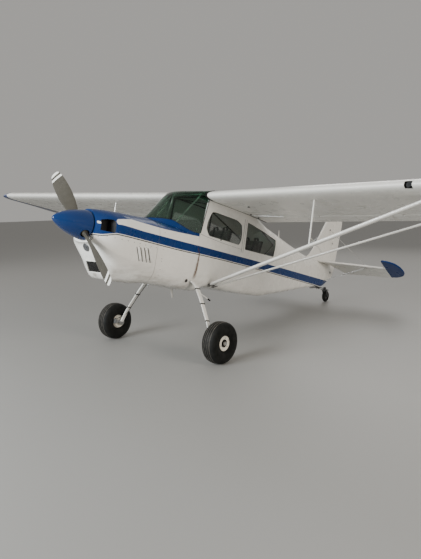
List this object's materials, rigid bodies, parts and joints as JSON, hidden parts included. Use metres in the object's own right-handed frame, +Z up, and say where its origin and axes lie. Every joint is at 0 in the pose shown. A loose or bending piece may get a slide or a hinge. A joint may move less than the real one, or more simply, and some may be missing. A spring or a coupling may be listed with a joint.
{
  "type": "light aircraft",
  "caption": "High-wing strut-braced light aircraft with two seats in tandem, a nose propeller and a fixed tailwheel undercarriage, parked on its wheels.",
  "frame": {"origin": "middle of the bounding box on the floor that the wheels stand on", "axes": "+X to the aircraft's left, +Y towards the tail, +Z up; the nose points along -Y and the airframe leans back onto its tailwheel"},
  "size_m": [11.02, 7.0582, 2.4896],
  "materials": {
    "white_paint": "glossy paint",
    "blue_paint": "glossy paint",
    "doped_fabric": "glossy doped fabric",
    "blue_fabric": "glossy doped fabric",
    "blade_paint": "satin grey paint",
    "engine_metal": "matte",
    "bare_steel": "satin",
    "black_steel": "satin black",
    "leg_paint": "satin paint",
    "wheel_paint": "satin paint",
    "tyre_rubber": "matte",
    "green_tint": "clear green tint",
    "smoke_tint": "clear smoke tint",
    "panel_black": "matte",
    "seat_cloth": "woven"
  },
  "bodies": {
    "airframe": {"cowl_upper": "blue_paint", "cowl_lower": "white_paint", "engine_block": "engine_metal", "firewall": "bare_steel", "boot_cowl": "white_paint", "instrument_panel": "panel_black", "cabin_side_left": "doped_fabric", "cabin_side_right": "doped_fabric", "cabin_floor": "doped_fabric", "cabin_roof": "doped_fabric", "skylight": "green_tint", "windscreen": "green_tint", "window_left_front": "smoke_tint", "window_left_rear": "smoke_tint", "window_right_rear": "smoke_tint", "cabin_frame": "black_steel", "seat_front": "seat_cloth", "seat_rear": "seat_cloth", "stick_front": "black_steel", "stick_rear": "black_steel", "tail_cone": "doped_fabric", "fin": "doped_fabric", "stabiliser": "doped_fabric", "tail_spring": "black_steel", "wing_left": "doped_fabric", "wing_right": "doped_fabric", "wing_tip_left": "blue_fabric", "wing_tip_right": "blue_fabric", "strut_front_left": "white_paint", "strut_rear_left": "white_paint", "strut_front_right": "white_paint", "strut_rear_right": "white_paint", "jury_strut_left": "white_paint", "jury_strut_right": "white_paint", "gear_leg_left": "leg_paint", "gear_leg_right": "leg_paint", "axle_left": "bare_steel", "axle_right": "bare_steel", "brace_wires_left": "bare_steel", "brace_wires_right": "bare_steel"},
    "propeller": {"spinner": "blue_paint", "propeller_hub": "bare_steel", "blade_upper": "blade_paint", "blade_lower": "blade_paint"},
    "main_wheel_left": {"wheel_left": "wheel_paint", "tyre_left": "tyre_rubber"},
    "main_wheel_right": {"wheel_right": "wheel_paint", "tyre_right": "tyre_rubber"},
    "fork": {"tail_fork": "black_steel"},
    "tailwheel": {"tailwheel_hub": "black_steel", "tailwheel_tyre": "tyre_rubber"},
    "rudder": {"rudder": "doped_fabric"},
    "elevator": {"elevator": "doped_fabric"},
    "aileron_left": {"aileron_left": "doped_fabric"},
    "aileron_right": {"aileron_right": "doped_fabric"},
    "flap_left": {"flap_left": "doped_fabric"},
    "flap_right": {"flap_right": "doped_fabric"},
    "door": {"door": "doped_fabric", "door_window": "smoke_tint"}
  },
  "joints": [
    {"name": "propeller_spin", "type": "hinge", "parent": "airframe", "child": "propeller", "pos_m": [0, -3.15219, 1.83435], "axis": [0, 0.9688, -0.2477], "continuous": true},
    {"name": "wheel_left_spin", "type": "hinge", "parent": "airframe", "child": "main_wheel_left", "pos_m": [1.061, -1.83284, 0.277], "axis": [1, 0, 0], "continuous": true},
    {"name": "wheel_right_spin", "type": "hinge", "parent": "airframe", "child": "main_wheel_right", "pos_m": [-1.061, -1.83284, 0.277], "axis": [1, 0, 0], "continuous": true},
    {"name": "rudder_turn", "type": "hinge", "parent": "airframe", "child": "rudder", "pos_m": [0, 3.10853, 1.16257], "axis": [0, 0.2477, 0.9688], "range_deg": [-25, 25]},
    {"name": "fork_steer", "type": "hinge", "parent": "airframe", "child": "fork", "pos_m": [0, 2.83835, 0.265], "axis": [0, 0, 1], "range_deg": [-25, 25]},
    {"name": "tailwheel_spin", "type": "hinge", "parent": "fork", "child": "tailwheel", "pos_m": [0, 2.87835, 0.117], "axis": [1, 0, 0], "continuous": true},
    {"name": "elevator_turn", "type": "hinge", "parent": "airframe", "child": "elevator", "pos_m": [0, 2.89474, 0.77856], "axis": [1, 0, 0], "range_deg": [0, 46]},
    {"name": "aileron_left_turn", "type": "hinge", "parent": "airframe", "child": "aileron_left", "pos_m": [3.84, -0.10699, 1.94281], "axis": [0.9998, 0.0055, 0.0215], "range_deg": [-22, 22]},
    {"name": "aileron_right_turn", "type": "hinge", "parent": "airframe", "child": "aileron_right", "pos_m": [-3.84, -0.10699, 1.94281], "axis": [0.9998, -0.0055, -0.0215], "range_deg": [-22, 22]},
    {"name": "flap_left_drop", "type": "hinge", "parent": "airframe", "child": "flap_left", "pos_m": [1.52, -0.11973, 1.89298], "axis": [-0.9998, -0.0055, -0.0215], "range_deg": [0, 35]},
    {"name": "flap_right_drop", "type": "hinge", "parent": "airframe", "child": "flap_right", "pos_m": [-1.52, -0.11973, 1.89298], "axis": [-0.9998, 0.0055, 0.0215], "range_deg": [0, 35]},
    {"name": "door_swing", "type": "hinge", "parent": "airframe", "child": "door", "pos_m": [-0.407, -1.37651, 1.52485], "axis": [0, 0.2477, 0.9688], "range_deg": [0, 90]}
  ],
  "couplings": [
    {"joint": "fork_steer", "follows": "rudder_turn", "ratio": 1},
    {"joint": "aileron_right_turn", "follows": "aileron_left_turn", "ratio": -1},
    {"joint": "flap_right_drop", "follows": "flap_left_drop", "ratio": 1}
  ]
}
